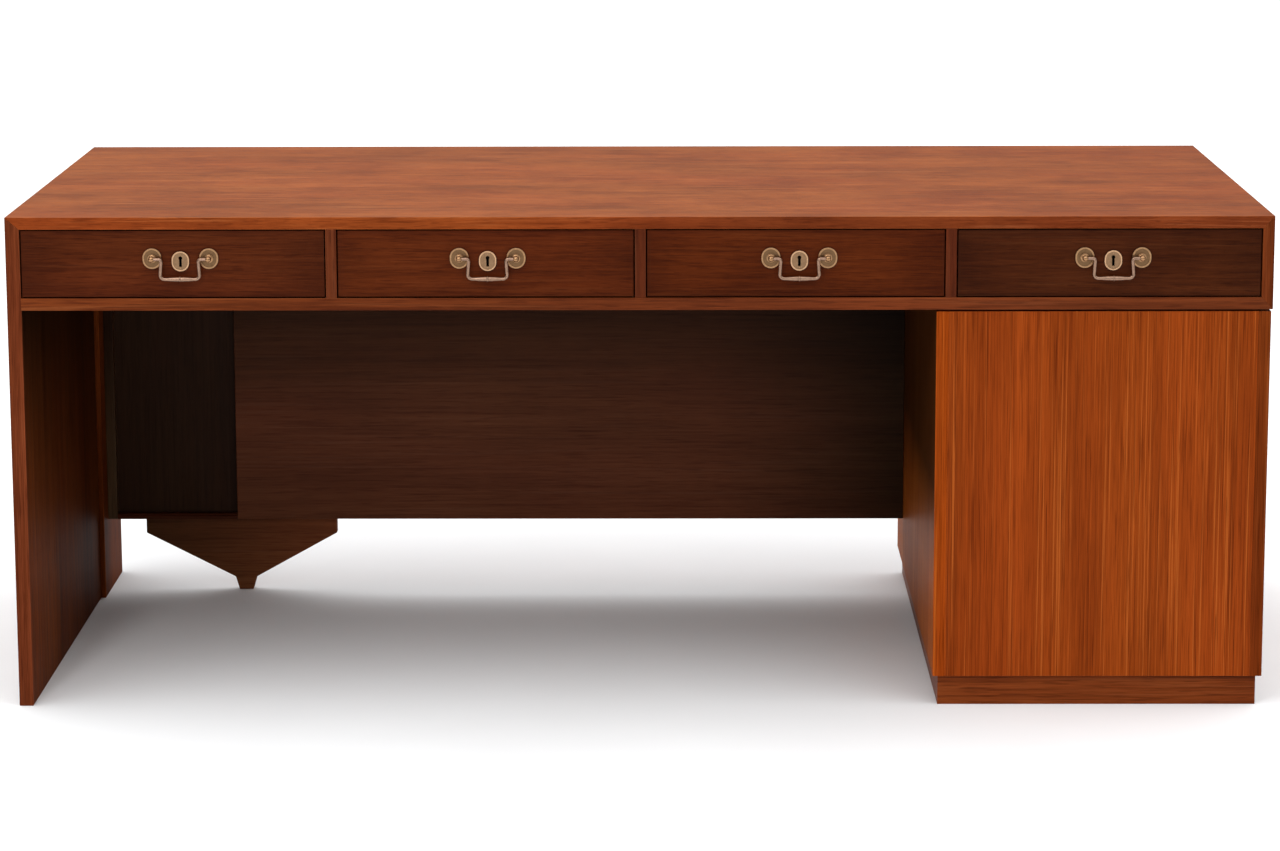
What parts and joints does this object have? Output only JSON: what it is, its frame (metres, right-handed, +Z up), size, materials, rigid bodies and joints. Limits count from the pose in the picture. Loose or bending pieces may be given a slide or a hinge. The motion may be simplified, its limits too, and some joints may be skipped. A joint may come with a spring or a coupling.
{
  "type": "writing desk",
  "caption": "Wide wooden desk with a row of drawers over an open knee space, bail pulls, a closed pedestal on the right and a full end panel on the left.",
  "frame": {"origin": "on the floor, under the middle of the desk's outer box", "axes": "+X to the sitter's right along the width, +Y away from the sitter, +Z up"},
  "size_m": [1.86, 0.8934, 0.738],
  "materials": {
    "case_wood": "satin lacquer over red-brown tropical hardwood",
    "pedestal_wood": "satin lacquer over straight-grained orange-brown hardwood",
    "drawer_front_wood": "satin lacquer over dark red-brown hardwood",
    "knee_space_wood": "satin lacquer over dark red-brown hardwood",
    "sunk_panel_wood": "satin lacquer over dark stained hardwood",
    "drawer_box_wood": "plain pale hardwood",
    "pull_brass": "aged brass",
    "lock_brass": "plain brass"
  },
  "bodies": {
    "carcass": {"top_board": "case_wood", "left_end_panel": "case_wood", "right_case_side": "case_wood", "case_bottom": "case_wood", "drawer_stop_board": "drawer_box_wood", "case_back": "case_wood", "dividers": "case_wood", "pedestal_front": "pedestal_wood", "pedestal_top": "pedestal_wood", "pedestal_bottom": "pedestal_wood", "pedestal_left_side": "pedestal_wood", "pedestal_right_side": "pedestal_wood", "bookcase_back": "pedestal_wood", "bookcase_shelf": "pedestal_wood", "plinth": "pedestal_wood", "modesty_panel": "knee_space_wood", "sunk_panel": "sunk_panel_wood", "end_lining": "case_wood", "corner_cleat": "knee_space_wood", "foot_board": "knee_space_wood"},
    "drawer_1": {"drawer_1_front": "drawer_front_wood", "drawer_1_left_side": "drawer_box_wood", "drawer_1_right_side": "drawer_box_wood", "drawer_1_back": "drawer_box_wood", "drawer_1_bottom": "drawer_box_wood", "drawer_1_lock": "lock_brass", "drawer_1_escutcheon": "pull_brass", "drawer_1_pull_posts": "pull_brass"},
    "drawer_2": {"drawer_2_front": "drawer_front_wood", "drawer_2_left_side": "drawer_box_wood", "drawer_2_right_side": "drawer_box_wood", "drawer_2_back": "drawer_box_wood", "drawer_2_bottom": "drawer_box_wood", "drawer_2_lock": "lock_brass", "drawer_2_escutcheon": "pull_brass", "drawer_2_pull_posts": "pull_brass"},
    "drawer_3": {"drawer_3_front": "drawer_front_wood", "drawer_3_left_side": "drawer_box_wood", "drawer_3_right_side": "drawer_box_wood", "drawer_3_back": "drawer_box_wood", "drawer_3_bottom": "drawer_box_wood", "drawer_3_lock": "lock_brass", "drawer_3_escutcheon": "pull_brass", "drawer_3_pull_posts": "pull_brass"},
    "drawer_4": {"drawer_4_front": "drawer_front_wood", "drawer_4_left_side": "drawer_box_wood", "drawer_4_right_side": "drawer_box_wood", "drawer_4_back": "drawer_box_wood", "drawer_4_bottom": "drawer_box_wood", "drawer_4_lock": "lock_brass", "drawer_4_escutcheon": "pull_brass", "drawer_4_pull_posts": "pull_brass"},
    "bail_1": {"bail_1": "pull_brass"},
    "bail_2": {"bail_2": "pull_brass"},
    "bail_3": {"bail_3": "pull_brass"},
    "bail_4": {"bail_4": "pull_brass"},
    "bolt_1": {"bolt_1": "lock_brass"},
    "bolt_2": {"bolt_2": "lock_brass"},
    "bolt_3": {"bolt_3": "lock_brass"},
    "bolt_4": {"bolt_4": "lock_brass"}
  },
  "joints": [
    {"name": "drawer_1_slide", "type": "slide", "parent": "carcass", "child": "drawer_1", "axis": [0, -1, 0], "range_m": [0, 0.44]},
    {"name": "drawer_2_slide", "type": "slide", "parent": "carcass", "child": "drawer_2", "axis": [0, -1, 0], "range_m": [0, 0.44]},
    {"name": "drawer_3_slide", "type": "slide", "parent": "carcass", "child": "drawer_3", "axis": [0, -1, 0], "range_m": [0, 0.44]},
    {"name": "drawer_4_slide", "type": "slide", "parent": "carcass", "child": "drawer_4", "axis": [0, -1, 0], "range_m": [0, 0.44]},
    {"name": "bail_1_swing", "type": "hinge", "parent": "drawer_1", "child": "bail_1", "pos_m": [-0.67292, -0.44225, 0.677], "axis": [-1, 0, 0], "range_deg": [-12, 165]},
    {"name": "bail_2_swing", "type": "hinge", "parent": "drawer_2", "child": "bail_2", "pos_m": [-0.22202, -0.44225, 0.677], "axis": [-1, 0, 0], "range_deg": [-12, 165]},
    {"name": "bail_3_swing", "type": "hinge", "parent": "drawer_3", "child": "bail_3", "pos_m": [0.23494, -0.44225, 0.677], "axis": [-1, 0, 0], "range_deg": [-12, 165]},
    {"name": "bail_4_swing", "type": "hinge", "parent": "drawer_4", "child": "bail_4", "pos_m": [0.6946, -0.44225, 0.677], "axis": [-1, 0, 0], "range_deg": [-12, 165]},
    {"name": "bolt_1_throw", "type": "slide", "parent": "drawer_1", "child": "bolt_1", "axis": [0, 0, 1], "range_m": [0, 0.006]},
    {"name": "bolt_2_throw", "type": "slide", "parent": "drawer_2", "child": "bolt_2", "axis": [0, 0, 1], "range_m": [0, 0.006]},
    {"name": "bolt_3_throw", "type": "slide", "parent": "drawer_3", "child": "bolt_3", "axis": [0, 0, 1], "range_m": [0, 0.006]},
    {"name": "bolt_4_throw", "type": "slide", "parent": "drawer_4", "child": "bolt_4", "axis": [0, 0, 1], "range_m": [0, 0.006]}
  ]
}
